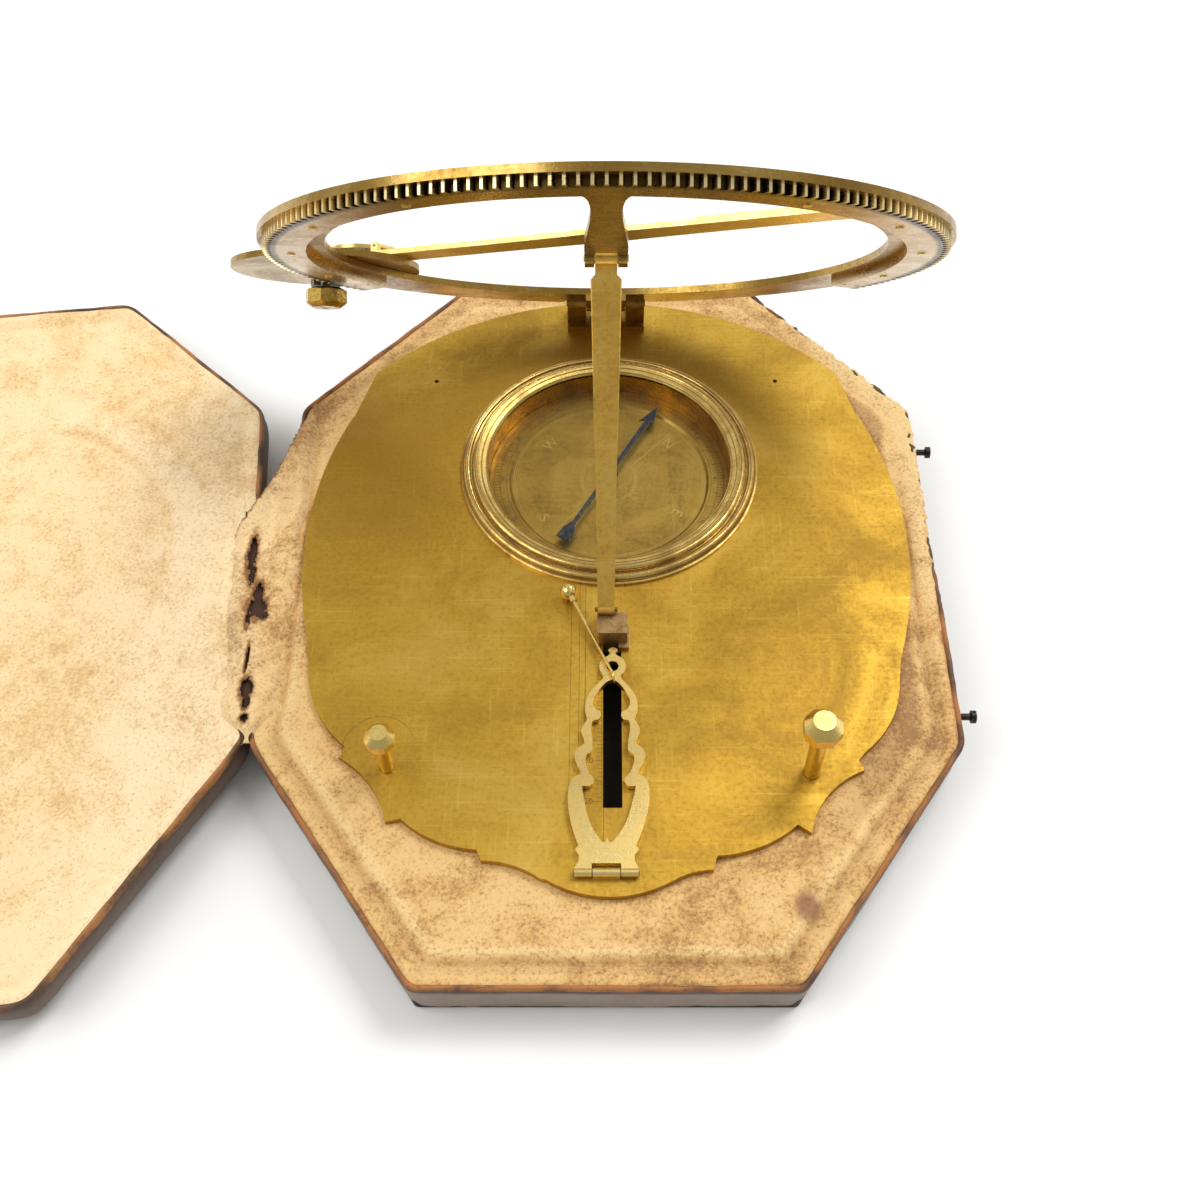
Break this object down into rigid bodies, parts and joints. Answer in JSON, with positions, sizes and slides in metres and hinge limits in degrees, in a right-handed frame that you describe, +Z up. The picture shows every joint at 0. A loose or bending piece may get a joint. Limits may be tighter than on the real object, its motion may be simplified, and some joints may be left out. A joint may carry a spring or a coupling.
{
  "type": "universal equatorial dial",
  "caption": "Folding brass equatorial sundial with geared minute dial and sunk compass, resting in an open leather-covered octagonal case",
  "frame": {"origin": "centre of the case's underside, on the table", "axes": "+Z up, +Y toward the ring's hinge (the dial's north), +X to the right of the open lid"},
  "size_m": [0.3403, 0.2171, 0.141],
  "materials": {
    "board": "plain board, unseen",
    "dark_hide": "dark worn hide, edges rubbed orange brown",
    "chamois": "napped buff lining, stained",
    "pale_chamois": "napped cream lining with pressed marks",
    "brass": "satin, golden olive, lightly tarnished",
    "pale_brass": "bright rubbed brass",
    "dark_brass": "brown toned brass",
    "ring_brass": "polished, brown toned in patches",
    "worn_brass": "greyed by handling",
    "steel": "plain turned steel",
    "blued_steel": "heat blued",
    "glass": "clear flat window"
  },
  "bodies": {
    "case": {"case_core": "board", "case_leather": "dark_hide", "case_lining": "chamois", "spine_base": "dark_hide", "hook_pins": "steel", "base_plate": "brass", "compass_bowl": "dark_brass", "compass_card": "pale_brass", "compass_pivot": "steel", "compass_glass": "glass", "compass_bezel": "brass", "hinge_block": "brass", "hinge_screws": "pale_brass", "hinge_pin": "steel", "bracket_lug": "brass", "bracket_pin": "steel", "back_foot": "brass"},
    "lid": {"lid_core": "board", "lid_leather": "dark_hide", "lid_lining": "pale_chamois", "spine_lid": "dark_hide"},
    "catch_front": {"lid_hook_front": "steel"},
    "catch_back": {"lid_hook_back": "steel"},
    "ring": {"hour_ring": "ring_brass", "gear_ring": "dark_brass", "ring_leaf": "brass", "ring_rivets": "pale_brass", "centre_pivot": "steel", "strut_pin": "pale_brass"},
    "strut": {"strut": "brass", "foot_pin": "steel"},
    "slider": {"slider": "worn_brass", "slider_clamp": "dark_brass"},
    "alidade": {"minute_dial": "ring_brass", "index_bar": "brass", "bar_screws": "steel", "vane_post": "brass", "vane_pin": "steel", "far_pin": "steel"},
    "pinion": {"pinion": "steel", "minute_hand": "blued_steel", "knob": "brass"},
    "noon_vane": {"noon_vane": "pale_brass"},
    "far_vane": {"far_vane": "pale_brass"},
    "bracket": {"bob_bracket": "pale_brass"},
    "bob": {"bob": "pale_brass"},
    "left_screw": {"left_screw": "pale_brass"},
    "right_screw": {"right_screw": "pale_brass"},
    "needle": {"needle": "blued_steel", "needle_cap": "brass"}
  },
  "joints": [
    {"name": "lid_hinge", "type": "hinge", "parent": "case", "child": "lid", "pos_m": [-0.082, -0.046, 0.014], "axis": [-0.0436, 0.999, 0], "range_deg": [0, 40]},
    {"name": "front_catch", "type": "hinge", "parent": "lid", "child": "catch_front", "pos_m": [-0.24588, -0.05232, 0.00486], "axis": [0.9958, 0.0871, 0.0282], "range_deg": [0, 90]},
    {"name": "back_catch", "type": "hinge", "parent": "lid", "child": "catch_back", "pos_m": [-0.25289, 0.02788, 0.00476], "axis": [0.9958, 0.0871, 0.0282], "range_deg": [0, 90]},
    {"name": "ring_tilt", "type": "hinge", "parent": "case", "child": "ring", "pos_m": [0, 0.0897, 0.021], "axis": [1, 0, 0], "range_deg": [-3, 43]},
    {"name": "strut_fold", "type": "hinge", "parent": "ring", "child": "strut", "pos_m": [0, 0.03784, 0.0826], "axis": [1, 0, 0], "range_deg": [-86, 6]},
    {"name": "latitude_slide", "type": "slide", "parent": "case", "child": "slider", "axis": [0, 1, 0], "range_m": [-0.0002, 0.006]},
    {"name": "alidade_turn", "type": "hinge", "parent": "ring", "child": "alidade", "pos_m": [0, 0.04209, 0.08049], "axis": [0, 0.7808, 0.6248], "range_deg": [-4, 233]},
    {"name": "pinion_turn", "type": "hinge", "parent": "alidade", "child": "pinion", "pos_m": [-0.06951, 0.06351, 0.05373], "axis": [0, 0.7808, 0.6248], "range_deg": [-96, 5592]},
    {"name": "noon_vane_fold", "type": "hinge", "parent": "alidade", "child": "noon_vane", "pos_m": [-0.05408, 0.0634, 0.06339], "axis": [0.4423, 0.5604, -0.7002], "range_deg": [0, 90]},
    {"name": "far_vane_fold", "type": "hinge", "parent": "alidade", "child": "far_vane", "pos_m": [0.05112, 0.03036, 0.1034], "axis": [0.4423, 0.5604, -0.7002], "range_deg": [0, 90]},
    {"name": "bracket_fold", "type": "hinge", "parent": "case", "child": "bracket", "pos_m": [0, -0.0784, 0.0156], "axis": [1, 0, 0], "range_deg": [0, 90]},
    {"name": "bob_swing", "type": "hinge", "parent": "bracket", "child": "bob", "pos_m": [0.0015, -0.02925, 0.01535], "axis": [0.9778, 0.2096, 0], "range_deg": [0, 150]},
    {"name": "left_screw_turn", "type": "hinge", "parent": "case", "child": "left_screw", "pos_m": [-0.0491, -0.0525, 0.02], "axis": [0, 0, 1], "continuous": true},
    {"name": "right_screw_turn", "type": "hinge", "parent": "case", "child": "right_screw", "pos_m": [0.046, -0.0536, 0.02], "axis": [0, 0, 1], "continuous": true},
    {"name": "needle_turn", "type": "hinge", "parent": "case", "child": "needle", "pos_m": [0.0008, 0.0359, 0.011], "axis": [0, 0, 1], "continuous": true}
  ],
  "couplings": [
    {"joint": "strut_fold", "follows": "ring_tilt", "ratio": -2},
    {"joint": "pinion_turn", "follows": "alidade_turn", "ratio": 24}
  ]
}
